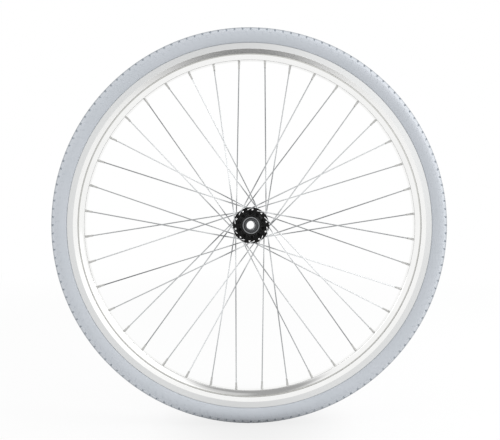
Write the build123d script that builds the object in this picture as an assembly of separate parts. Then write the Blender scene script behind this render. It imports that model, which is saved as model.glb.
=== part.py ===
from build123d import *
import os
from collections import namedtuple
from math import acos, cos, degrees, radians, sin, sqrt

# Bicycle wheel with wire spokes, an airless tyre and a hub for a through axle, in millimetres.
# The origin is the wheel's centre, the axle lies along Y and Z is up.
# The wheel rolls towards +X, so its right side is the one at -Y.

# Rim, a hollow aluminium extrusion rolled into a hoop
bead_seat_d = 622.0
hook_height = 6.0  # from the bead seat to the rim's outer edge
hook_t = 2.4
rim_width = 24.0
track_height = 10.6  # flat side track, measured inwards from the outer edge
shoulder_height = 8.4
nose_width = 19.0
nose_height = 9.0
nose_side_width = 15.6  # where the nose's side turns in to the spoke bed
nose_side_height = 5.4
bed_width = 9.0
well_depth = 2.6  # below the bead seat
well_width = 10.0
rim_wall = 1.5
tyre_bed_t = 1.7
spoke_bed_t = 2.4

# Tyre, one moulded ring that grips the rim's channel
tyre_width = 35.0
tyre_height = 30.0  # from the rim's outer edge to the crown
tyre_fit = 0.1
crown_angle = 20.0  # round the section, from the tread's middle to where the flat shoulder starts
shoulder_angle = 66.0  # from the tread's middle to where the flat shoulder ends
notch_count = 152  # on each shoulder
notch_width = 3.6
notch_depth = 2.4
notch_margin = 1.0  # flat left at each end of a notch

# Spokes, laced in four lays
spoke_count = 40
crossings = 4
first_rim_angle = 85.0
spoke_d = 2.0
spoke_head_d = 3.6
spoke_head_t = 1.4
spoke_end_past_bed = 1.5
rim_hole_stagger = 2.0
wire_sides = 6  # flats that stand for round on the small pieces that repeat

# Nipples
nipple_d = 4.0
nipple_length = 12.0  # outside the rim
nipple_head_d = 6.0
nipple_head_t = 1.8
nipple_head_lift = 0.9  # leaning heads stand this far off the spoke bed
nipple_hole_fit = 0.15
thread_fit = 0.05

# Hub shell, turned from aluminium bar
hub_end_wall = 1.0  # round the bearing
flange_from_end = 12.5  # from the shell's end to the flange's middle
flare_from_end = 6.9  # from the shell's end to where it flares out to the flange
flare_d = 35.6
flange_t = 3.2
flange_edge_chamfer = 0.7
hole_circle_d = 53.0
hole_edge = 4.2  # from the hole circle to the flange's edge
head_room = 3.0  # from the hole circle to the foot of the flare
spoke_hole_fit = 0.3
flange_clear = 1.4  # outside spokes stand this far off the flange and so clear its edge
barrel_d = 35.0
barrel_taper = 11.4  # from the flange to the straight barrel
bearing_shoulder = 2.0  # height of the step that the bearing is pressed against
end_lip = 0.5  # shell's end past the bearing
end_chamfer = 0.4

# Bearings, sealed cartridges with one row of balls
bearing_bore_d = 17.0
bearing_d = 28.0
bearing_width = 7.0
ball_d = 3.17515  # about an eighth of an inch
ball_count = 13
ball_fit = 0.06
land_share = 0.4  # of the room between bore and outside, left between the races beside the balls
seal_t = 0.8
seal_recess = 0.3
seal_lip_gap = 0.3
cage_land_fit = 0.4
cage_web = 0.6
cage_height = 3.2
cage_pocket_fit = 0.12

# Axle sleeve and end caps
hub_width = 100.0  # over the end caps
axle_bore_d = 15.0
sleeve_shoulder = 1.5  # height of the step that the bearings sit against
cap_length = 5.0
cap_boss_wall = 1.4
cap_boss_t = 0.7
cap_lip = 0.9  # step from the boss out to the cap's rim
cap_socket = 3.0  # length of sleeve inside the cap
cap_chamfer = 0.5

# Radii and places that follow from them
bead_seat_r = bead_seat_d / 2
rim_edge_r = bead_seat_r + hook_height
track_end_r = rim_edge_r - track_height
nose_r = track_end_r - shoulder_height
bed_r = nose_r - nose_height
crown_r = rim_edge_r + tyre_height
bearing_room = (bearing_d - bearing_bore_d) / 2
land_gap = land_share * bearing_room
ball_circle_r = (bearing_bore_d + bearing_d) / 4
inner_land_r = ball_circle_r - land_gap / 2
outer_land_r = ball_circle_r + land_gap / 2
bearing_outside = hub_width / 2 - cap_length
bearing_inside = bearing_outside - bearing_width
bearing_middle = bearing_outside - bearing_width / 2
hub_end_place = bearing_outside + end_lip
flange_place = hub_end_place - flange_from_end
lacing_turn = crossings * 720 / spoke_count
spokes_in_lay = spoke_count // 4
rim_pitch = 360 / spoke_count
outside_rise = (flange_t + spoke_d) / 2 + flange_clear
inside_rise = (flange_t + spoke_d) / 2

# A lay is every spoke that leaves one flange in one direction and on one face.
Lay = namedtuple("Lay", "side outside turn rim_angle")
lays = {
    "right_trailing": Lay(-1, False, -1, first_rim_angle),
    "right_leading": Lay(-1, True, 1, first_rim_angle + 2 * rim_pitch),
    "left_trailing": Lay(1, False, -1, first_rim_angle - rim_pitch),
    "left_leading": Lay(1, True, 1, first_rim_angle + rim_pitch),
}
sides = {"right": -1, "left": 1}


def polar(radius, angle, along):
    """A point at a radius and an angle round the axle, and at a place along it."""
    return Vector(radius * cos(radians(angle)), along, radius * sin(radians(angle)))


def turned(*points):
    """A ring turned about the axle, from an outline of (radius, place along the axle)."""
    return revolve(make_face(Polyline(*points, close=True)), Axis.Y)


def other_half(points):
    """The rest of an even outline, from its points on the left."""
    return [(radius, -along) for radius, along in reversed(points)]


def round_the_axle(piece, count):
    """Even copies of a piece round the axle."""
    return [Rot(0, 360 * i / count, 0) * piece for i in range(count)]


def on_side(piece, side):
    """A piece drawn for the left end of the hub, on the side asked for."""
    return piece if side > 0 else mirror(piece, Plane.XZ)


def make_rim():
    edge = rim_width / 2
    hook = edge - hook_t
    nose = nose_width / 2
    well_r = bead_seat_r - well_depth
    well = well_width / 2
    nose_side_r = nose_r - nose_side_height
    half = [(well_r, well), (bead_seat_r, hook), (rim_edge_r, hook), (rim_edge_r, edge), (track_end_r, edge),
            (nose_r, nose), (nose_side_r, nose_side_width / 2), (bed_r, bed_width / 2)]
    hoop = turned(*half, *other_half(half))

    chamber_r = well_r - tyre_bed_t
    chamber_bed_r = bed_r + spoke_bed_t
    half = [(chamber_r, edge - rim_wall), (nose_r, nose - rim_wall), (chamber_bed_r, bed_width / 2)]
    chamber = turned(*half, *other_half(half))
    holes = []
    for lay in lays.values():
        hole = nipple_bar(lay, nipple_d / 2 + nipple_hole_fit, -nipple_length, spoke_bed_t + nipple_head_t)
        holes += round_the_axle(hole, spokes_in_lay)
    return hoop - chamber - holes


def make_tyre():
    section_r = tyre_width / 2
    section_centre = crown_r - section_r
    shelf_r = rim_edge_r + tyre_fit
    neck = rim_width / 2 - hook_t - tyre_fit
    base_r = bead_seat_r + tyre_fit

    def on_section(angle, radius=section_r):
        """A point of the outline, by its angle from the tread's middle round the section."""
        return section_centre + radius * cos(radians(angle)), radius * sin(radians(angle))

    shelf_angle = degrees(acos((shelf_r - section_centre) / section_r))
    shelf = on_section(shelf_angle)[1]
    wall_angle = (shoulder_angle + shelf_angle) / 2
    flat_angle = (crown_angle + shoulder_angle) / 2
    half_span = radians(shoulder_angle - crown_angle) / 2
    flat_r = section_r * cos(half_span)
    flat_length = 2 * section_r * sin(half_span)

    crown = ThreePointArc(on_section(-crown_angle), on_section(0), on_section(crown_angle))
    grip = Polyline((shelf_r, -shelf), (shelf_r, -neck), (base_r, -neck), (base_r, neck), (shelf_r, neck),
                    (shelf_r, shelf))
    outline = [crown, grip]
    notches = []
    cutter = Box(2 * notch_depth, flat_length - 2 * notch_margin, notch_width)
    for side in sides.values():
        flat = Line(on_section(side * crown_angle), on_section(side * shoulder_angle))
        wall = ThreePointArc(on_section(side * shoulder_angle), on_section(side * wall_angle),
                             on_section(side * shelf_angle))
        outline += [flat, wall]
        notch = Pos(*on_section(side * flat_angle, flat_r)) * Rot(0, 0, side * flat_angle) * cutter
        notches += round_the_axle(notch, notch_count)
    return revolve(make_face(outline), Axis.Y) - notches


def spoke_line(lay):
    """The elbow, the point on the rim's nose and the direction of a lay's first spoke."""
    rise = outside_rise if lay.outside else -inside_rise
    hub_angle = lay.rim_angle + lay.turn * lacing_turn
    elbow = polar(hole_circle_d / 2, hub_angle, lay.side * (flange_place + rise))
    seat = polar(bed_r, lay.rim_angle, lay.side * rim_hole_stagger)
    return elbow, seat, (seat - elbow).normalized()


def wire_section(origin, direction, across, radius):
    """The section of a wire or nipple, on a plane square to its direction."""
    flat = across - direction * across.dot(direction)
    return Plane(origin, x_dir=flat, z_dir=direction) * RegularPolygon(radius, wire_sides)


def make_spoke(lay):
    elbow, seat, direction = spoke_line(lay)
    head_side = lay.side * (-1 if lay.outside else 1)
    out_of_face = Vector(0, head_side, 0)
    face = Vector(elbow.X, lay.side * flange_place + head_side * flange_t / 2, elbow.Z)
    end = seat + direction * spoke_end_past_bed
    section = wire_section(face, -out_of_face, direction, spoke_d / 2)
    wire = sweep(section, path=Polyline(face, elbow, end), transition=Transition.RIGHT)
    head = extrude(wire_section(face, out_of_face, direction, spoke_head_d / 2), spoke_head_t)
    return wire + head


def nipple_bar(lay, radius, start, end):
    """A bar along a lay's first spoke, between two distances past the rim's nose."""
    seat, direction = spoke_line(lay)[1:]
    section = wire_section(seat + direction * start, direction, Vector(0, 1, 0), radius)
    return extrude(section, end - start)


def make_nipple(lay):
    head_start = spoke_bed_t + nipple_head_lift
    body = nipple_bar(lay, nipple_d / 2, -nipple_length, head_start)
    head = nipple_bar(lay, nipple_head_d / 2, head_start, head_start + nipple_head_t)
    thread = nipple_bar(lay, spoke_d / 2 + thread_fit, -nipple_length, spoke_end_past_bed + thread_fit)
    return body + head - thread


def make_hub_shell():
    seat_r = bearing_d / 2
    end_r = seat_r + hub_end_wall
    bore_r = seat_r - bearing_shoulder
    mouth_r = seat_r + end_chamfer
    face = flange_place + flange_t / 2
    back = flange_place - flange_t / 2
    edge_r = hole_circle_d / 2 + hole_edge
    land_r = edge_r - flange_edge_chamfer
    edge_out = face - flange_edge_chamfer
    root_r = hole_circle_d / 2 - head_room
    flare = hub_end_place - flare_from_end
    half = [(bore_r, bearing_inside), (seat_r, bearing_inside), (seat_r, hub_end_place - end_chamfer),
            (mouth_r, hub_end_place), (end_r, hub_end_place), (flare_d / 2, flare), (root_r, face),
            (land_r, face), (edge_r, edge_out), (edge_r, back), (root_r, back),
            (barrel_d / 2, back - barrel_taper)]
    shell = turned(*half, *other_half(half))
    holes = []
    for lay in lays.values():
        elbow, _, direction = spoke_line(lay)
        start = Vector(elbow.X, lay.side * back, elbow.Z)
        section = wire_section(start, Vector(0, lay.side, 0), direction, spoke_d / 2 + spoke_hole_fit)
        holes += round_the_axle(extrude(section, flange_t), spokes_in_lay)
    return shell - holes


def make_outer_race():
    groove_r = ball_circle_r + ball_d / 2 + ball_fit
    return turned((outer_land_r, bearing_inside), (groove_r, bearing_middle),
                  (outer_land_r, bearing_outside), (bearing_d / 2, bearing_outside),
                  (bearing_d / 2, bearing_inside))


def make_inner_race():
    groove_r = ball_circle_r - ball_d / 2 - ball_fit
    return turned((inner_land_r, bearing_inside), (groove_r, bearing_middle),
                  (inner_land_r, bearing_outside), (bearing_bore_d / 2, bearing_outside),
                  (bearing_bore_d / 2, bearing_inside))


def make_seal(start):
    lip_r = inner_land_r + seal_lip_gap
    return turned((lip_r, start), (outer_land_r, start), (outer_land_r, start + seal_t),
                  (lip_r, start + seal_t))


def make_balls():
    """Balls with flats: a cube whose corners all lie on the ball's sphere once its edges are cut."""
    ball_r = ball_d / 2
    small = ball_r / sqrt(2 + (1 + sqrt(2)) ** 2)
    large = (1 + sqrt(2)) * small
    cube = Box(2 * large, 2 * large, 2 * large)
    ball = Pos(ball_circle_r, bearing_middle, 0) * chamfer(cube.edges(), large - small)
    return round_the_axle(ball, ball_count)


def make_cage():
    """A crown cage: a ring with a pocket open towards the hub's end for each ball."""
    pocket = ball_d + 2 * cage_pocket_fit
    pocket_floor = bearing_middle - pocket / 2
    ring_start = pocket_floor - cage_web
    wall = land_gap / 2 - cage_land_fit
    flats = 2 * ball_count
    plane = Plane((0, ring_start, 0), x_dir=(1, 0, 0), z_dir=(0, 1, 0))
    outline = RegularPolygon(ball_circle_r + wall, flats) - RegularPolygon(ball_circle_r - wall, flats)
    ring = extrude(plane * outline, cage_height)
    slot = Pos(ball_circle_r, pocket_floor + cage_height / 2, 0) * Box(4 * wall, cage_height, pocket)
    return ring - round_the_axle(slot, ball_count)


def make_axle_sleeve():
    bore_r = axle_bore_d / 2
    seat_r = bearing_bore_d / 2
    shoulder_r = seat_r + sleeve_shoulder
    end = bearing_outside + cap_socket
    return turned((bore_r, -end), (seat_r, -end), (seat_r, -bearing_inside), (shoulder_r, -bearing_inside),
                  (shoulder_r, bearing_inside), (seat_r, bearing_inside), (seat_r, end), (bore_r, end))


def make_end_cap():
    bore_r = axle_bore_d / 2
    seat_r = bearing_bore_d / 2
    shoulder = bearing_outside + cap_socket
    skirt = bearing_outside + cap_boss_t
    boss_r = seat_r + cap_boss_wall
    cap_r = boss_r + cap_lip
    end = bearing_outside + cap_length
    return turned((seat_r, bearing_outside), (boss_r, bearing_outside), (boss_r, skirt),
                  (cap_r, skirt), (cap_r, end - cap_chamfer), (cap_r - cap_chamfer, end),
                  (bore_r, end), (bore_r, shoulder), (seat_r, shoulder))


def save(name, solids):
    """Write one node: a single solid, or a group of like solids."""
    group = solids if isinstance(solids, list) else [solids]
    shape = group[0] if len(group) == 1 else Compound(children=group)
    export_step(shape, os.path.join("parts", name + ".step"))
    print(name, len(group))


os.makedirs("parts", exist_ok=True)
save("rim", make_rim())
save("tyre", make_tyre())
for lay_name, lay in lays.items():
    save(lay_name + "_spokes", round_the_axle(make_spoke(lay), spokes_in_lay))
    save(lay_name + "_nipples", round_the_axle(make_nipple(lay), spokes_in_lay))
save("hub_shell", make_hub_shell())
save("axle_sleeve", make_axle_sleeve())
for side_name, side in sides.items():
    save(side_name + "_end_cap", on_side(make_end_cap(), side))
    save(side_name + "_bearing_outer_race", on_side(make_outer_race(), side))
    save(side_name + "_bearing_inner_race", on_side(make_inner_race(), side))
    save(side_name + "_bearing_outer_seal", on_side(make_seal(bearing_outside - seal_recess - seal_t), side))
    save(side_name + "_bearing_inner_seal", on_side(make_seal(bearing_inside + seal_recess), side))
    save(side_name + "_bearing_balls", [on_side(ball, side) for ball in make_balls()])
    save(side_name + "_ball_cage", on_side(make_cage(), side))
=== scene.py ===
# %% [markdown]
# # A bicycle wheel with a grey airless tyre
# The wheel is a hub on bearings, wire spokes, a hollow silver rim and a tyre moulded in one piece.
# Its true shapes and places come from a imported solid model, which is loaded here as a fixed frame.
# Every piece made below rides on one of the frame's bodies, so it turns when that body turns.

# %% Load the frame
from math import acos, atan2, cos, pi, radians, sin, tan

import bmesh
import bpy
from mathutils import Matrix, Vector


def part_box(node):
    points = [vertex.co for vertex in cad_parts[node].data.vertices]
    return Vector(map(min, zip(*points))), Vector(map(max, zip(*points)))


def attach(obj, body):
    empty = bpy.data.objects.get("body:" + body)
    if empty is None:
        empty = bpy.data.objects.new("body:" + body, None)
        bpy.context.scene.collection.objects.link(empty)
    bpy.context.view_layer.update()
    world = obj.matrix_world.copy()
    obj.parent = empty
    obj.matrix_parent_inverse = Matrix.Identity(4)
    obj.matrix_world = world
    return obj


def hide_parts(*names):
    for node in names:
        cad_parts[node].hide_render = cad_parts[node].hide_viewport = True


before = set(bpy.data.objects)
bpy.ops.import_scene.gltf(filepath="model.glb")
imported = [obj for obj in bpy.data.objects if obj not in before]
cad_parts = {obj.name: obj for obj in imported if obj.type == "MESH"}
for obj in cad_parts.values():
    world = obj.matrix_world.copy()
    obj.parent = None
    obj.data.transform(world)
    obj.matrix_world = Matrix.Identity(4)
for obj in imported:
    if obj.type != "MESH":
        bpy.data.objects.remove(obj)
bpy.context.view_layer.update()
mm = 0.001
axle = Vector((0, 1, 0))

# %% [markdown]
# ## The main sizes
# A ring in the frame has its widest point on the X axis, so its box gives its radius.
# What a box can't give, such as the place of a groove, is written where the piece is made.
# The tyre stays a hair smaller than its solid, so that rounding in the copies can't make the wheel larger.

# %% Read the main sizes from the frame
hair = 0.005 * mm
crown_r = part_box("tyre")[1].x - hair
tyre_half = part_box("tyre")[1].y - hair
floor_z = -crown_r
rim_edge_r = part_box("rim")[1].x
rim_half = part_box("rim")[1].y
flange_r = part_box("hub_shell")[1].x
hub_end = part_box("hub_shell")[1].y
print(f"Tyre {2 * crown_r / mm:.0f} mm across, rim {2 * rim_edge_r / mm:.0f} mm, "
      f"flange {2 * flange_r / mm:.1f} mm")

# %% [markdown]
# ## The camera
# The photograph looks at the wheel's right side from about the height of the hub,
# and a very little from the left.
# That shows in the hub, which sits a pixel or two right of the middle of the tyre.
# The near side of the hub looks larger than its far side, and that sets how close the camera is.
# The focal length then follows from the width that the picture takes in at the wheel's middle plane.

# %% Place the camera
picture_width = 500
camera_distance = 800 * mm
camera_yaw = radians(1.0)
picture_middle = Vector((-1 * mm, 0, 9 * mm))
pixels_per_metre = 568
sensor = 36

camera_data = bpy.data.cameras.new("camera")
camera_data.sensor_width = sensor
camera_data.lens = sensor * camera_distance * pixels_per_metre / picture_width
camera = bpy.data.objects.new("camera", camera_data)
camera.location = picture_middle - camera_distance * Vector((sin(camera_yaw), cos(camera_yaw), 0))
camera.rotation_euler = (radians(90), 0, -camera_yaw)
bpy.context.scene.collection.objects.link(camera)
bpy.context.scene.camera = camera
bpy.context.scene.view_settings.view_transform = "Standard"
print(f"Lens {camera_data.lens:.1f} mm")

# %% [markdown]
# ## Helpers for materials
# A colour is given as an sRGB hex value, and the shader wants it linear, so one function converts it.
# One more adds a node, gives it its settings, and fills each socket with a value or with a link.

# %% Helpers for colours and nodes
def linear(hex_colour):
    """A colour such as "BFC5CC" as linear red, green, blue and alpha."""
    levels = [int(hex_colour[i:i + 2], 16) / 255 for i in (0, 2, 4)]
    return [c / 12.92 if c <= 0.04045 else ((c + 0.055) / 1.055) ** 2.4 for c in levels] + [1]


def add_node(tree, kind, sockets, **settings):
    """Add a node with its settings, and give each socket a value or a link from another node's output."""
    node = tree.nodes.new("ShaderNode" + kind)
    for name, value in settings.items():
        setattr(node, name, value)
    for name, value in sockets.items():
        if isinstance(value, bpy.types.NodeSocket):
            tree.links.new(value, node.inputs[name])
        else:
            node.inputs[name].default_value = value
    return node


def new_material(name):
    """An empty material and its node tree."""
    material = bpy.data.materials.new(name)
    material.use_nodes = True
    material.node_tree.nodes.clear()
    return material, material.node_tree


print("White is", linear("FFFFFF"))

# %% [markdown]
# ## The stage
# The photograph has a white floor that runs into a white background, and only a faint shadow under the tyre.
# A floor that was lit up to pure white would need too much light on the wheel.
# So the light stays plain, and rays from the camera and from shiny metal see the floor mixed with white,
# partly near the wheel, where the shadow lies, and wholly further off.
# Right under the tyre the paper is painted grey, as a painted shadow, which also sends little light back up,
# so the tread darkens there.

# %% Make the world and the floor
world_light = 0.88
floor_white = 0.82
floor_size = 30
floor_colour = "ECECEC"
# The grey under the tyre is a painted shadow.
contact_shadow_colour = "969696"
contact_reach = (0.02, 0.2)
floor_fade = (0.6, 2.6)


def seen_directly(tree):
    """1 for rays from the camera, from shiny surfaces and through clear ones, and 0 for the rest."""
    path = add_node(tree, "LightPath", {})
    first = add_node(tree, "Math", {0: path.outputs["Is Camera Ray"], 1: path.outputs["Is Glossy Ray"]},
                     operation="MAXIMUM")
    return add_node(tree, "Math", {0: first.outputs[0], 1: path.outputs["Is Transmission Ray"]},
                    operation="MAXIMUM").outputs[0]


world = bpy.data.worlds.new("studio")
bpy.context.scene.world = world
world.use_nodes = True
tree = world.node_tree
tree.nodes.clear()
level = add_node(tree, "MapRange", {"Value": seen_directly(tree), "To Min": world_light, "To Max": 1.0})
sky = add_node(tree, "Background", {"Color": linear("FFFFFF"), "Strength": level.outputs[0]})
add_node(tree, "OutputWorld", {"Surface": sky.outputs[0]})

floor_paper, tree = new_material("white_paper_floor")
away = add_node(tree, "VectorMath", {0: add_node(tree, "TexCoord", {}).outputs["Object"]}, operation="LENGTH")
# Close to the tyre the paper takes the painted shadow's grey.
clear_of_tyre = add_node(tree, "MapRange", {"Value": away.outputs["Value"], "From Min": contact_reach[0],
                                            "From Max": contact_reach[1]}, interpolation_type="SMOOTHSTEP")
tint = add_node(tree, "Mix", {0: clear_of_tyre.outputs[0], 6: linear(contact_shadow_colour),
                              7: linear(floor_colour)}, data_type="RGBA")
paper = add_node(tree, "BsdfDiffuse", {"Color": tint.outputs[2]})
fade = add_node(tree, "MapRange", {"Value": away.outputs["Value"], "From Min": floor_fade[0],
                                   "From Max": floor_fade[1], "To Min": floor_white, "To Max": 1.0},
                interpolation_type="SMOOTHSTEP")
seen_fade = add_node(tree, "Math", {0: fade.outputs[0], 1: seen_directly(tree)}, operation="MULTIPLY")
white = add_node(tree, "Emission", {"Color": linear("FFFFFF")})
both = add_node(tree, "MixShader", {0: seen_fade.outputs[0], 1: paper.outputs[0], 2: white.outputs[0]})
add_node(tree, "OutputMaterial", {"Surface": both.outputs[0]})


def add_board(name, width, height, material):
    """A flat board for the stage, still lying at the origin."""
    bm = bmesh.new()
    bmesh.ops.create_grid(bm, x_segments=1, y_segments=1, size=0.5)
    bmesh.ops.scale(bm, verts=bm.verts, vec=(width, height, 1))
    mesh = bpy.data.meshes.new(name)
    bm.to_mesh(mesh)
    bm.free()
    mesh.materials.append(material)
    board = bpy.data.objects.new(name, mesh)
    bpy.context.scene.collection.objects.link(board)
    return board


floor = add_board("floor", floor_size, floor_size, floor_paper)
floor.location.z = floor_z
print(f"Floor at {floor_z / mm:.0f} mm")

# %% [markdown]
# ## The lights
# One large soft light stands high on the right, as the bright patch on the hub shows.
# A weaker one stands high on the left, and another fills from the front.
# Bright metal needs something dark to mirror, or it turns flat.
# The photograph's rim mirrors a dim patch low in front of the wheel and a dim ceiling,
# so two grey cards stand there.
# Only shiny surfaces see the cards: they cast no shadow and the camera looks through them.

# %% Place the lights and the cards
def add_softbox(name, place, size, watts):
    """A square soft light that faces the wheel's centre."""
    lamp = bpy.data.lights.new(name, "AREA")
    lamp.size = size
    lamp.energy = watts
    box = bpy.data.objects.new(name, lamp)
    box.location = place
    box.rotation_euler = (-Vector(place)).to_track_quat("-Z", "Y").to_euler()
    bpy.context.scene.collection.objects.link(box)


add_softbox("key_softbox", (1.9, -0.3, 1.3), 1.3, 22)
add_softbox("fill_softbox", (1.2, -2.6, 1.1), 2.2, 4)
add_softbox("left_softbox", (-1.7, -0.7, 1.3), 1.6, 7)


def add_card(name, grey, place, turn, width, height):
    """A grey card that only shiny surfaces see, softer towards its edges."""
    paint, tree = new_material(name + "_paint")
    coords = add_node(tree, "TexCoord", {}).outputs["Object"]
    half = add_node(tree, "VectorMath", {0: coords, 1: (2 / width, 2 / height, 0)}, operation="MULTIPLY")
    reach = add_node(tree, "VectorMath", {0: half.outputs[0]}, operation="LENGTH")
    cover = add_node(tree, "MapRange", {"Value": reach.outputs["Value"], "From Min": 0.5, "From Max": 1.0,
                                        "To Min": 1.0, "To Max": 0.0}, interpolation_type="SMOOTHSTEP")
    dim = add_node(tree, "Emission", {"Color": linear(grey)})
    clear = add_node(tree, "BsdfTransparent", {})
    mixed = add_node(tree, "MixShader", {0: cover.outputs[0], 1: clear.outputs[0], 2: dim.outputs[0]})
    add_node(tree, "OutputMaterial", {"Surface": mixed.outputs[0]})
    card = add_board(name, width, height, paint)
    card.location = place
    card.rotation_euler = turn
    card.visible_camera = False
    card.visible_diffuse = False
    card.visible_shadow = False


add_card("front_card", "5E5E5E", (0.045, -2.2, -0.21), (radians(90), 0, 0), 0.20, 0.34)
add_card("ceiling_card", "A6A6A6", (0, -3.1, 2.5), (0, 0, 0), 2.8, 4.3)
print("Stage ready")

# %% [markdown]
# ## Helpers for pieces
# Most of the wheel was turned on a lathe, rolled or moulded round.
# So an outline is drawn once and spun about the axle.
# An outline is a few corners, given as radius and place along the axle.
# Its corners can be rounded before the spin.

# %% Helpers for turned pieces
weld = 0.002 * mm
soft_edge = radians(32)


def line(bm, vert, *corners):
    """Go on from a vertex through corners, given as radius and place along the axle. Returns them."""
    verts = [vert]
    for radius, along in corners:
        verts.append(bm.verts.new((radius, along, 0)))
        bm.edges.new(verts[-2:])
    return verts[1:]


def arc(bm, vert, corner, angle, steps):
    """Go on from a vertex along an arc that turns left and ends at a corner. Returns its vertices."""
    count = len(bm.verts)
    chord = Vector((*corner, 0)) - vert.co
    centre = vert.co + chord / 2 + Vector((-chord.y, chord.x, 0)) / (2 * tan(angle / 2))
    bmesh.ops.spin(bm, geom=[vert], cent=centre, axis=(0, 0, 1), dvec=(0, 0, 0), angle=angle, steps=steps,
                   use_merge=False, use_duplicate=False)
    bm.verts.ensure_lookup_table()
    return bm.verts[count:]


def round_off(bm, verts, radius, segments=3):
    """Round the corners of an outline."""
    bmesh.ops.bevel(bm, geom=verts, offset=radius, offset_type="OFFSET", segments=segments, profile=0.5,
                    affect="VERTICES", material=-1)


def add_other_half(bm):
    """Complete an outline, drawn on the left of the wheel's middle plane, by its mirror image."""
    bmesh.ops.mirror(bm, geom=bm.verts[:] + bm.edges[:], matrix=Matrix(), merge_dist=weld, axis="Y")


def turn(bm, steps):
    """Spin the outline once round the axle."""
    bmesh.ops.spin(bm, geom=bm.verts[:] + bm.edges[:], cent=(0, 0, 0), axis=axle, dvec=(0, 0, 0),
                   angle=2 * pi, steps=steps, use_merge=True, use_duplicate=False)


def repeat(bm, count):
    """Copy the whole mesh evenly round the axle."""
    bmesh.ops.spin(bm, geom=bm.verts[:] + bm.edges[:] + bm.faces[:], cent=(0, 0, 0), axis=axle,
                   dvec=(0, 0, 0), angle=2 * pi * (count - 1) / count, steps=count - 1,
                   use_merge=False, use_duplicate=True)


def add_piece(name, bm, finish, body, slot, *nodes, smooth_below=soft_edge):
    """Close the mesh and make it a piece that rides on a body and stands for solids of the frame."""
    bmesh.ops.remove_doubles(bm, verts=bm.verts, dist=weld)
    bmesh.ops.recalc_face_normals(bm, faces=bm.faces)
    mesh = bpy.data.meshes.new(name)
    bm.to_mesh(mesh)
    bm.free()
    mesh.shade_smooth()
    mesh.set_sharp_from_angle(angle=smooth_below)
    mesh.materials.append(finish)
    piece = bpy.data.objects.new(name, mesh)
    bpy.context.scene.collection.objects.link(piece)
    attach(piece, body)
    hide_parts(*nodes)
    print(f"{name}: {len(mesh.polygons)} faces")
    return piece


# %% [markdown]
# ## The tyre's rubber
# The tyre is grey foamed rubber.
# It comes out of its mould with a thin closed skin, satin and a little uneven.
# A colour that drifts slowly, and a fine bump from the foam's cells under the skin,
# keep it from looking like plastic.
# The tread is painted a little darker than the sidewall, which is painted shade.
# The notches' faces get a lighter grey, which is painted light: it takes most of the shade out of the deep
# notches.

# %% Make the grey rubber
def foamed_rubber(name, dark, light, tread_shade):
    """Satin rubber with a foam's cells under its skin, and a darker colour on the tread, which is painted
    shade.
    """
    material, tree = new_material(name)
    place = add_node(tree, "TexCoord", {}).outputs["Object"]
    flat = add_node(tree, "VectorMath", {0: place, 1: (1, 0, 1)}, operation="MULTIPLY")
    radius = add_node(tree, "VectorMath", {0: flat.outputs[0]}, operation="LENGTH").outputs["Value"]
    # The tread's darker colour is painted shade.
    shade_start = crown_r - 6 * mm
    shade_full = crown_r - 2 * mm
    tread = add_node(tree, "MapRange", {"Value": radius, "From Min": shade_start, "From Max": shade_full},
                     interpolation_type="SMOOTHSTEP")
    cell_size = 1.4 * mm
    drift_size = 45 * mm
    cells = add_node(tree, "TexNoise", {"Vector": place, "Scale": 1 / cell_size, "Detail": 2.0})
    drift = add_node(tree, "TexNoise", {"Vector": place, "Scale": 1 / drift_size, "Detail": 2.0})
    tint = add_node(tree, "Mix", {0: drift.outputs["Fac"], 6: linear(dark), 7: linear(light)},
                    data_type="RGBA")
    shown = add_node(tree, "Mix", {0: tread.outputs[0], 6: tint.outputs[2], 7: linear(tread_shade)},
                     data_type="RGBA")
    gloss = add_node(tree, "MapRange", {"Value": cells.outputs["Fac"], "To Min": 0.42, "To Max": 0.60})
    bump = add_node(tree, "Bump", {"Height": cells.outputs["Fac"], "Strength": 0.25, "Distance": 0.15 * mm})
    rubber = add_node(tree, "BsdfPrincipled", {"Base Color": shown.outputs[2], "Roughness": gloss.outputs[0],
                                               "IOR": 1.5, "Normal": bump.outputs[0]})
    add_node(tree, "OutputMaterial", {"Surface": rubber.outputs[0]})
    return material


# The last colour of each rubber is the tread's painted shade.
tyre_rubber = foamed_rubber("grey_foamed_rubber", "BBC1C7", "C2C6CD", "9FA4AA")
# The notches' lighter greys are painted light.
lightened_notch_rubber = foamed_rubber("grey_rubber_painted_lighter", "CAD0D6", "D0D5DB", "AFB4BA")
print("Made", tyre_rubber.name, "and", lightened_notch_rubber.name)

# %% [markdown]
# ## The tyre
# The tread has a round crown and a flat shoulder on each side,
# with a notch in the shoulder every 14 mm or so.
# Cutting hundreds of notches into a finished ring would be slow.
# One pitch of the tread is modelled instead, as a short slice of the ring, and copied round the axle.
# Half of the outline is drawn, from the middle of the tread to the middle of the tyre's foot,
# and then mirrored.

# %% Draw the tyre's outline
tyre_fit = 0.1 * mm
rim_hook = 2.4 * mm
hook_height = 6 * mm
bead_seat_r = rim_edge_r - hook_height
section_r = tyre_half
section_centre = crown_r - section_r
shelf_r = rim_edge_r + tyre_fit
foot_r = bead_seat_r + tyre_fit
neck = rim_half - rim_hook - tyre_fit
crown_angle = radians(20)
shoulder_angle = radians(66)
shelf_angle = acos((shelf_r - section_centre) / section_r)
notch_margin = 1.0 * mm
shoulder_round = 0.7 * mm
shelf_round = 1.4 * mm
crown_steps = 4
wall_steps = 14


def on_section(angle):
    """A point of the round section, by its angle from the middle of the tread."""
    return Vector((section_centre + section_r * cos(angle), section_r * sin(angle)))


flat_start = on_section(crown_angle)
flat_end = on_section(shoulder_angle)
margin = (flat_end - flat_start).normalized() * notch_margin

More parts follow.
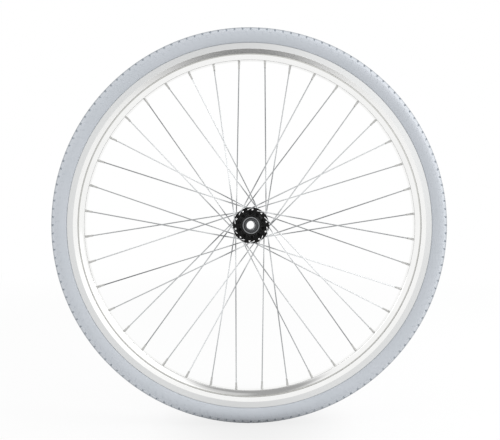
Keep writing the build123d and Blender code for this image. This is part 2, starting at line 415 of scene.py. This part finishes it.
bm = bmesh.new()
crown = arc(bm, bm.verts.new((crown_r, 0, 0)), flat_start, crown_angle, crown_steps)
flat = line(bm, crown[-1], flat_start + margin, flat_end - margin, flat_end)
wall = arc(bm, flat[-1], on_section(shelf_angle), shelf_angle - shoulder_angle, wall_steps)
line(bm, wall[-1], (shelf_r, neck), (foot_r, neck), (foot_r, 0))
round_off(bm, [crown[-1], flat[-1]], shoulder_round, 2)
round_off(bm, [wall[-1]], shelf_round)
add_other_half(bm)
print(f"Outline of {len(bm.verts)} corners, section {2 * section_r / mm:.0f} mm wide")

# %% [markdown]
# The outline is spun through one pitch, with a notch in the middle.
# The two middle columns of faces become the notch,
# and one column on the sidewall becomes a shallow slanted cut.
# An inset with a depth sinks them, which leaves sloped walls as a mould needs.
# Below the shoulder each row is turned a little more than the one above, which slants the cuts.

# %% Cut the tread into one pitch and copy it round
notches = 152
pitch = 2 * pi / notches
columns = 8
notch_columns = (3, 4)
notch_span = (crown_angle + radians(5), shoulder_angle - radians(5))
notch_depth = 2.4 * mm
notch_draft = 0.8 * mm
notch_finish = 1
cut_columns = (6,)
cut_span = (radians(70), radians(95))
cut_depth = 0.25 * mm
cut_draft = 0.2 * mm
slant = 0.5 * pitch


def section_angle(point):
    """How far a point lies from the middle of the tread, as an angle round the tyre's section."""
    radius = Vector((point.x, point.z)).length
    return atan2(abs(point.y), radius - section_centre)


def column(point):
    """Which column of the pitch a point lies in."""
    return int((0.5 - atan2(point.z, point.x) / pitch) * columns)


def sink(bm, wanted_columns, span, depth, draft):
    """Sink faces in some columns, between two section angles and on each side. Returns floors and walls."""
    made = []
    for side in (-1, 1):
        sunk = []
        for face in bm.faces:
            centre = face.calc_center_median()
            in_span = span[0] < section_angle(centre) < span[1] and centre.y * side > 0
            if in_span and column(centre) in wanted_columns:
                sunk.append(face)
        walls = bmesh.ops.inset_region(bm, faces=sunk, thickness=draft, depth=-depth, use_even_offset=True)
        made += sunk + walls["faces"]
    return made


bmesh.ops.rotate(bm, verts=bm.verts, cent=(0, 0, 0), matrix=Matrix.Rotation(-pitch / 2, 3, axle))
bmesh.ops.spin(bm, geom=bm.verts[:] + bm.edges[:], cent=(0, 0, 0), axis=axle, dvec=(0, 0, 0), angle=pitch,
               steps=columns, use_merge=False, use_duplicate=False)
bmesh.ops.recalc_face_normals(bm, faces=bm.faces)
# The notches' faces take the lighter rubber, which is painted light.
for face in sink(bm, notch_columns, notch_span, notch_depth, notch_draft):
    face.material_index = notch_finish
sink(bm, cut_columns, cut_span, cut_depth, cut_draft)
for vert in bm.verts:
    below = max(0, section_angle(vert.co) - shoulder_angle)
    vert.co.rotate(Matrix.Rotation(slant * below, 3, axle))
repeat(bm, notches)
tyre = add_piece("grey_tyre", bm, tyre_rubber, "wheel", "tyre", "tyre")
tyre.data.materials.append(lightened_notch_rubber)

# %% [markdown]
# ## The rim's aluminium
# The rim is an extruded aluminium bar, rolled into a hoop, polished and anodised silver.
# Its side tracks are machined after that, so they look a little darker and duller
# than the polished part inside them.
# Machining also leaves very fine lines round the wheel, which are noise that depends only on the radius.
# Real lines are some hundredths of a millimetre apart, which is too fine to show,
# so they are drawn ten times as coarse.
# The bottom of the groove beside the nose is painted a little grey, which is painted shade.

# %% Make the silver aluminium
track_height = 10.6 * mm
shoulder_height = 8.4 * mm
groove = 1.2 * mm
track_end_r = rim_edge_r - track_height
nose_r = track_end_r - shoulder_height


def silver_anodised_aluminium():
    material, tree = new_material("silver_anodised_aluminium")
    place = add_node(tree, "TexCoord", {}).outputs["Object"]
    flat = add_node(tree, "VectorMath", {0: place, 1: (1, 0, 1)}, operation="MULTIPLY")
    radius = add_node(tree, "VectorMath", {0: flat.outputs[0]}, operation="LENGTH").outputs["Value"]
    line_pitch = 0.5 * mm
    cloud_size = 30 * mm
    edge_blur = 0.2 * mm
    track = add_node(tree, "MapRange", {"Value": radius, "From Min": track_end_r - edge_blur,
                                        "From Max": track_end_r + edge_blur}).outputs[0]
    groove_shade_mask = add_node(tree, "Math", {0: radius, 1: nose_r, 2: groove}, operation="COMPARE").outputs[0]
    lines = add_node(tree, "TexNoise", {"W": radius, "Scale": 1 / line_pitch, "Detail": 2.0},
                     noise_dimensions="1D")
    cloud = add_node(tree, "TexNoise", {"Vector": place, "Scale": 1 / cloud_size, "Detail": 3.0})
    polished = add_node(tree, "Mix", {0: cloud.outputs["Fac"], 6: linear("F2F2F1"), 7: linear("F8F8F7")},
                        data_type="RGBA")
    shown = add_node(tree, "Mix", {0: track, 6: polished.outputs[2], 7: linear("DFE0E0")}, data_type="RGBA")
    # The groove's grey is painted shade.
    tint = add_node(tree, "Mix", {0: groove_shade_mask, 6: shown.outputs[2], 7: linear("E0E0DE")}, data_type="RGBA")
    dull = add_node(tree, "MapRange", {"Value": lines.outputs["Fac"], "To Min": 0.30, "To Max": 0.42})
    gloss = add_node(tree, "Mix", {0: track, 2: 0.10, 3: dull.outputs[0]}, data_type="FLOAT")
    bump = add_node(tree, "Bump", {"Height": lines.outputs["Fac"], "Strength": 0.12, "Distance": 0.05 * mm})
    metal = add_node(tree, "BsdfPrincipled", {"Base Color": tint.outputs[2], "Metallic": 1.0,
                                              "Roughness": gloss.outputs[0], "Normal": bump.outputs[0]})
    add_node(tree, "OutputMaterial", {"Surface": metal.outputs[0]})
    return material


rim_metal = silver_anodised_aluminium()
print("Made", rim_metal.name)

# %% [markdown]
# ## The rim
# From the tyre inwards, each side has a flat track, a tapered shoulder and a rounded nose.
# A fine groove between the shoulder and the nose catches the shade and shows as a thin dark ring.
# Half of its outline is drawn from the middle of the tyre's channel to the middle of the nose.
# The nose curves in from the groove to a flat bed for the spokes.

# %% Spin the rim
rim_steps = 240
nose_height = 9 * mm
nose_half = 9.5 * mm
nose_turn = radians(12)
bed_half = 4.5 * mm
groove_depth = 1.4 * mm
well_depth = 2.6 * mm
well_half = 5 * mm
hook_round = 0.6 * mm
bed_round = 1.0 * mm
nose_steps = 6
nose_start = nose_r - groove
bed_r = nose_r - nose_height
lean = (rim_half - nose_half) / shoulder_height

bm = bmesh.new()
well = bm.verts.new((bead_seat_r - well_depth, 0, 0))
hook = line(bm, well, (bead_seat_r - well_depth, well_half), (bead_seat_r, rim_half - rim_hook),
            (rim_edge_r, rim_half - rim_hook), (rim_edge_r, rim_half))
side = line(bm, hook[-1], (track_end_r, rim_half), (nose_r + groove, nose_half + groove * lean),
            (nose_r, nose_half - groove_depth), (nose_start, nose_half))
nose = arc(bm, side[-1], (bed_r, bed_half), nose_turn, nose_steps)
line(bm, nose[-1], (bed_r, 0))
round_off(bm, hook[-2:], hook_round)
round_off(bm, nose[-1:], bed_round, 8)
add_other_half(bm)
turn(bm, rim_steps)
add_piece("rim_hoop", bm, rim_metal, "wheel", "rim", "rim", smooth_below=radians(12))

# %% [markdown]
# ## The metals of the small parts
# Spokes are drawn stainless wire. In the photograph some look dark and some pale, by what each one mirrors.
# A grey that drifts round the axle stands in for that.
# It differs from wire to wire, and little along one wire.
# Heads and elbows get a near-white steel, which is a painted highlight.
# Nipples are brass under nickel, which is a little yellow.
# The races are ground steel with a soft shine. The caps and the sleeve are anodised, which is duller.
# All get some cloudiness in their gloss, because wire and plating are never perfectly even.

# %% Make the small metals
def cloudy_finish(name, dark, light, smooth, rough, cloud_size, metallic=1.0):
    """A finish whose colour and gloss drift between two values over a real distance."""
    material, tree = new_material(name)
    place = add_node(tree, "TexCoord", {}).outputs["Object"]
    cloud = add_node(tree, "TexNoise", {"Vector": place, "Scale": 1 / cloud_size, "Detail": 3.0})
    tint = add_node(tree, "Mix", {0: cloud.outputs["Fac"], 6: linear(dark), 7: linear(light)},
                    data_type="RGBA")
    gloss = add_node(tree, "MapRange", {"Value": cloud.outputs["Fac"], "To Min": smooth, "To Max": rough})
    bump = add_node(tree, "Bump", {"Height": cloud.outputs["Fac"], "Strength": 0.1, "Distance": 0.05 * mm})
    skin = add_node(tree, "BsdfPrincipled", {"Base Color": tint.outputs[2], "Metallic": metallic,
                                             "Roughness": gloss.outputs[0], "Normal": bump.outputs[0]})
    add_node(tree, "OutputMaterial", {"Surface": skin.outputs[0]})
    return material


def drawn_stainless_wire():
    """Steel whose grey drifts round the axle."""
    material, tree = new_material("drawn_stainless_wire")
    place = add_node(tree, "TexCoord", {}).outputs["Object"]
    drift_at_rim = 70 * mm
    flat = add_node(tree, "VectorMath", {0: place, 1: (1, 0, 1)}, operation="MULTIPLY")
    around = add_node(tree, "VectorMath", {0: flat.outputs[0]}, operation="NORMALIZE")
    drift = add_node(tree, "TexNoise", {"Vector": around.outputs[0], "Scale": bed_r / drift_at_rim,
                                       "Detail": 0.0})
    pale = add_node(tree, "MapRange", {"Value": drift.outputs["Fac"], "From Min": 0.3, "From Max": 0.7})
    tint = add_node(tree, "Mix", {0: pale.outputs[0], 6: linear("787A7C"), 7: linear("E5E7E8")},
                    data_type="RGBA")
    gloss = add_node(tree, "MapRange", {"Value": pale.outputs[0], "To Min": 0.46, "To Max": 0.54})
    metal = add_node(tree, "BsdfPrincipled", {"Base Color": tint.outputs[2], "Metallic": 1.0,
                                              "Roughness": gloss.outputs[0]})
    add_node(tree, "OutputMaterial", {"Surface": metal.outputs[0]})
    return material


spoke_steel = drawn_stainless_wire()
# The near-white steel of heads and elbows is a painted highlight.
bright_painted_steel = cloudy_finish("stainless_steel_painted_bright", "EAEAEA", "F2F2F2", 0.18, 0.28, 2 * mm)
nipple_plate = cloudy_finish("nickel_plated_brass", "BCBCBA", "C8C8C6", 0.35, 0.45, 2 * mm)
race_steel = cloudy_finish("ground_bearing_steel", "808284", "8E9092", 0.20, 0.35, 3 * mm)
cap_metal = cloudy_finish("dark_grey_anodised_aluminium", "4C4D4F", "57585A", 0.35, 0.50, 3 * mm)
sleeve_metal = cloudy_finish("grey_anodised_aluminium", "C2C4C6", "CCCED0", 0.35, 0.50, 5 * mm)
print("Made six metals")

# %% [markdown]
# ## The lacing
# A lay is every spoke that leaves one flange in one direction and on one face of the flange.
# There are four lays of ten, and the spokes of a lay are one spoke turned round the axle.
# So each lay needs one line, from the elbow at the flange to the seat in the rim.

# %% Work out one spoke line for each lay
spoke_count = 40
crossings = 4
spokes_in_lay = spoke_count // 4
rim_pitch = 360 / spoke_count
first_rim_angle = 85
lacing_turn = crossings * 720 / spoke_count
spoke_r = 1 * mm
hole_circle_r = 26.5 * mm
flange_from_end = 12.5 * mm
flange_place = hub_end - flange_from_end
flange_t = 3.2 * mm
flange_clear = 1.4 * mm
inside_rise = flange_t / 2 + spoke_r
outside_rise = inside_rise + flange_clear
rim_hole_stagger = 2 * mm
lays = {
    "right_trailing": (-1, False, -1, first_rim_angle),
    "right_leading": (-1, True, 1, first_rim_angle + 2 * rim_pitch),
    "left_trailing": (1, False, -1, first_rim_angle - rim_pitch),
    "left_leading": (1, True, 1, first_rim_angle + rim_pitch),
}


def polar(radius, angle, along):
    """A point at a radius and an angle round the axle, and at a place along it."""
    return Vector((radius * cos(radians(angle)), along, radius * sin(radians(angle))))


def spoke_line(side, outside, twist, rim_angle):
    """The spoke's start at the flange's face, its elbow and its seat in the rim."""
    rise = outside_rise if outside else -inside_rise
    hub_angle = rim_angle + twist * lacing_turn
    head_side = -side if outside else side
    start = polar(hole_circle_r, hub_angle, side * flange_place + head_side * flange_t / 2)
    elbow = polar(hole_circle_r, hub_angle, side * (flange_place + rise))
    seat = polar(bed_r, rim_angle, side * rim_hole_stagger)
    return start, elbow, seat


def stand(bm, origin, forward, across):
    """Move what was modelled along Z to an origin, with Z turned forward and X turned towards across."""
    z = forward.normalized()
    x = (across - z * across.dot(z)).normalized()
    turned = Matrix((x, z.cross(x), z)).transposed().to_4x4()
    bmesh.ops.transform(bm, matrix=Matrix.Translation(origin) @ turned, verts=bm.verts)


for lay_name, lay in lays.items():
    start, elbow, seat = spoke_line(*lay)
    print(f"{lay_name}: {(seat - elbow).length / mm:.1f} mm from elbow to rim")

# %% [markdown]
# ## The spokes
# A spoke is a wire with a head pressed on one end, a bend at the flange and a thread hidden in the nipple.
# It is modelled as a bender makes it: a disc is pulled out to form the head and the shank,
# spun through the elbow, and pulled straight to the rim.

# %% Make the spokes
wire_sides = 10
head_r = 1.8 * mm
head_t = 1.4 * mm
head_top = 0.5
head_steps = ((0.25, 1.6), (0.35, 1.25), (0.4, 1.0))  # share of the head's height, and growth of its width
bend_r = 2.6 * mm
bend_steps = 6
thread_in_rim = 1.5 * mm


def pull(bm, face, move, grow=1.0):
    """Extrude a face, move its copy, scale it about its centre and return it."""
    made = bmesh.ops.extrude_face_region(bm, geom=[face])["geom"]
    end = next(part for part in made if isinstance(part, bmesh.types.BMFace))
    bmesh.ops.translate(bm, verts=end.verts, vec=move)
    back = Matrix.Translation(-end.calc_center_median())
    bmesh.ops.scale(bm, verts=end.verts, vec=(grow, grow, grow), space=back)
    return end


def new_disc(bm, radius, sides, height):
    """A flat disc across the Z axis."""
    made = bmesh.ops.create_circle(bm, cap_ends=True, radius=radius, segments=sides,
                                   matrix=Matrix.Translation((0, 0, height)))
    return made["verts"][0].link_faces[0]


def make_spoke(start, elbow, seat):
    bm = bmesh.new()
    shank = (elbow - start).length
    into_hole = (elbow - start).normalized()
    along = (seat - elbow).normalized()
    bend = into_hole.angle(along)
    tangent = bend_r * tan(bend / 2)
    end = new_disc(bm, head_r * head_top, wire_sides, -head_t)
    for rise, grow in head_steps:
        end = pull(bm, end, (0, 0, head_t * rise), grow)
    end = pull(bm, end, (0, 0, 0), spoke_r / head_r)
    end = pull(bm, end, (0, 0, shank - tangent))
    spun = bmesh.ops.spin(bm, geom=[end], cent=(bend_r, 0, shank - tangent), axis=(0, 1, 0), dvec=(0, 0, 0),
                          angle=bend, steps=bend_steps, use_merge=False, use_duplicate=False)["geom_last"]
    bmesh.ops.delete(bm, geom=[end], context="FACES_ONLY")
    end = next(part for part in spun if isinstance(part, bmesh.types.BMFace))
    straight = (seat - elbow).length - tangent + thread_in_rim
    # Head, shank and elbow take the near-white steel, a painted highlight.
    pressed = [face for face in bm.faces if face != end]
    pull(bm, end, Vector((sin(bend), 0, cos(bend))) * straight)
    for face in bm.faces:
        face.material_index = int(face in pressed)
    stand(bm, start, into_hole, along)
    return bm


for lay_name, lay in lays.items():
    bm = make_spoke(*spoke_line(*lay))
    repeat(bm, spokes_in_lay)
    wires = add_piece(lay_name + "_wires", bm, spoke_steel, "wheel", "spoke", lay_name + "_spokes",
                      smooth_below=radians(50))
    wires.data.materials.append(bright_painted_steel)

# %% [markdown]
# ## The nipples
# A nipple is a long nut. It comes out of the rim round, and has four flats for the spoke key towards its tip.
# A round bar is pulled out in steps.
# The corners of the steps that have flats are then pushed in to the key's width.

# %% Make the nipples
nipple_sides = 16
nipple_r = 2 * mm
nipple_length = 12 * mm
nipple_head_r = 3 * mm
nipple_head_t = 1.8 * mm
nipple_head_taper = 0.8
head_seat = 3.3 * mm
key_half = 1.66 * mm
flats_end = 5.2 * mm
tip_bevel = 0.4 * mm


def make_nipple(start, elbow, seat):
    bm = bmesh.new()
    end = new_disc(bm, nipple_r - tip_bevel, nipple_sides, -nipple_length)
    end = pull(bm, end, (0, 0, tip_bevel), nipple_r / (nipple_r - tip_bevel))
    end = pull(bm, end, (0, 0, nipple_length - tip_bevel - flats_end))
    for vert in bm.verts:
        vert.co.x = max(-key_half, min(key_half, vert.co.x))
        vert.co.y = max(-key_half, min(key_half, vert.co.y))
    bmesh.ops.delete(bm, geom=[end], context="FACES_ONLY")
    end = new_disc(bm, nipple_r, nipple_sides, tip_bevel - flats_end)
    rings = [edge for edge in bm.edges if len(edge.link_faces) == 1]
    bmesh.ops.bridge_loops(bm, edges=rings)
    end = pull(bm, end, (0, 0, flats_end - tip_bevel + head_seat))
    end = pull(bm, end, (0, 0, 0), nipple_head_r / nipple_r)
    pull(bm, end, (0, 0, nipple_head_t), nipple_head_taper)
    stand(bm, seat, seat - elbow, axle)
    return bm


for lay_name, lay in lays.items():
    bm = make_nipple(*spoke_line(*lay))
    repeat(bm, spokes_in_lay)
    add_piece(lay_name + "_nuts", bm, nipple_plate, "wheel", "nipple", lay_name + "_nipples")

# %% [markdown]
# ## The hub's black finish
# The hub shell is turned aluminium, blasted and anodised black.
# The dye fills the oxide skin, so the eye sees a deep black with a soft satin shine,
# and not a metal's bright mirror.

# %% Make the black finish
def black_anodised_aluminium():
    material, tree = new_material("black_anodised_aluminium")
    place = add_node(tree, "TexCoord", {}).outputs["Object"]
    grit_size = 0.5 * mm
    cloud_size = 12 * mm
    grit = add_node(tree, "TexNoise", {"Vector": place, "Scale": 1 / grit_size, "Detail": 2.0})
    cloud = add_node(tree, "TexNoise", {"Vector": place, "Scale": 1 / cloud_size, "Detail": 2.0})
    tint = add_node(tree, "Mix", {0: cloud.outputs["Fac"], 6: linear("050505"), 7: linear("090909")},
                    data_type="RGBA")
    gloss = add_node(tree, "MapRange", {"Value": grit.outputs["Fac"], "To Min": 0.16, "To Max": 0.26})
    bump = add_node(tree, "Bump", {"Height": grit.outputs["Fac"], "Strength": 0.15, "Distance": 0.05 * mm})
    skin = add_node(tree, "BsdfPrincipled", {"Base Color": tint.outputs[2], "Roughness": gloss.outputs[0],
                                             "Specular IOR Level": 0.14, "Normal": bump.outputs[0]})
    add_node(tree, "OutputMaterial", {"Surface": skin.outputs[0]})
    return material


hub_black = black_anodised_aluminium()
print("Made", hub_black.name)

# %% [markdown]
# ## The hub shell
# The shell is one turned piece: a barrel, two drilled flanges,
# and ends that flare in from the flanges to the bearings.
# The wires fill the flanges' holes, so none are cut here.
# The lip round each bearing is turned to a soft round edge, which catches the light.
# From there a shallow hollow flare runs out to the flange.

# %% Spin the hub shell
hub_steps = 120
bearing_r = 14 * mm
bearing_width = 7 * mm
end_lip = 0.5 * mm
bearing_shoulder = 2 * mm
head_room = 3 * mm
flange_foot_r = hole_circle_r - head_room
flange_bevel = 0.7 * mm
flange_round = 1.5 * mm
barrel_r = 17.5 * mm
barrel_taper = 11.4 * mm
lip_start = 0.3 * mm
lip_size = Vector((2.6, -2.2)) * mm
lip_turn = radians(34)
flare_turn = radians(28)
flare_steps = 6
bearing_outside = hub_end - end_lip
bearing_inside = bearing_outside - bearing_width
flange_face = flange_place + flange_t / 2
flange_back = flange_place - flange_t / 2

bm = bmesh.new()
bore = bm.verts.new((bearing_r - bearing_shoulder, 0, 0))
seat = line(bm, bore, (bearing_r - bearing_shoulder, bearing_inside), (bearing_r, bearing_inside),
            (bearing_r, hub_end), (bearing_r + lip_start, hub_end))
lip = arc(bm, seat[-1], Vector((bearing_r + lip_start, hub_end)) + lip_size, -lip_turn, flare_steps)
flare = arc(bm, lip[-1], (flange_foot_r, flange_face), flare_turn, flare_steps)
flange = line(bm, flare[-1], (flange_r, flange_face), (flange_r, flange_back), (flange_foot_r, flange_back),
              (barrel_r, flange_back - barrel_taper), (barrel_r, 0))
round_off(bm, flange[:2], flange_bevel, 2)
round_off(bm, flange[2:3], flange_round)
round_off(bm, flare[-1:], flange_round)
add_other_half(bm)
turn(bm, hub_steps)
add_piece("hub_body", bm, hub_black, "wheel", "hub", "hub_shell")

# %% [markdown]
# ## The rest of the frame's solids
# The bearings, the end caps and the sleeve are simple rings, and their solids are already right.
# They stay, and only get their finishes. Seals are dull black rubber, and cages are waxy cream nylon.

# %% Finish the rings
seal_rubber = cloudy_finish("black_seal_rubber", "161616", "1C1C1C", 0.5, 0.7, 1 * mm, 0.0)
cage_nylon = cloudy_finish("cream_nylon", "D8D0BC", "E0D8C6", 0.4, 0.5, 1 * mm, 0.0)
finishes = {"end_cap": cap_metal, "race": race_steel, "seal": seal_rubber, "balls": race_steel,
            "cage": cage_nylon, "sleeve": sleeve_metal}
for name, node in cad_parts.items():
    for ending, finish in finishes.items():
        if name.endswith(ending):
            node.data.materials.clear()
            node.data.materials.append(finish)
print("Finished", len(finishes), "kinds of ring")
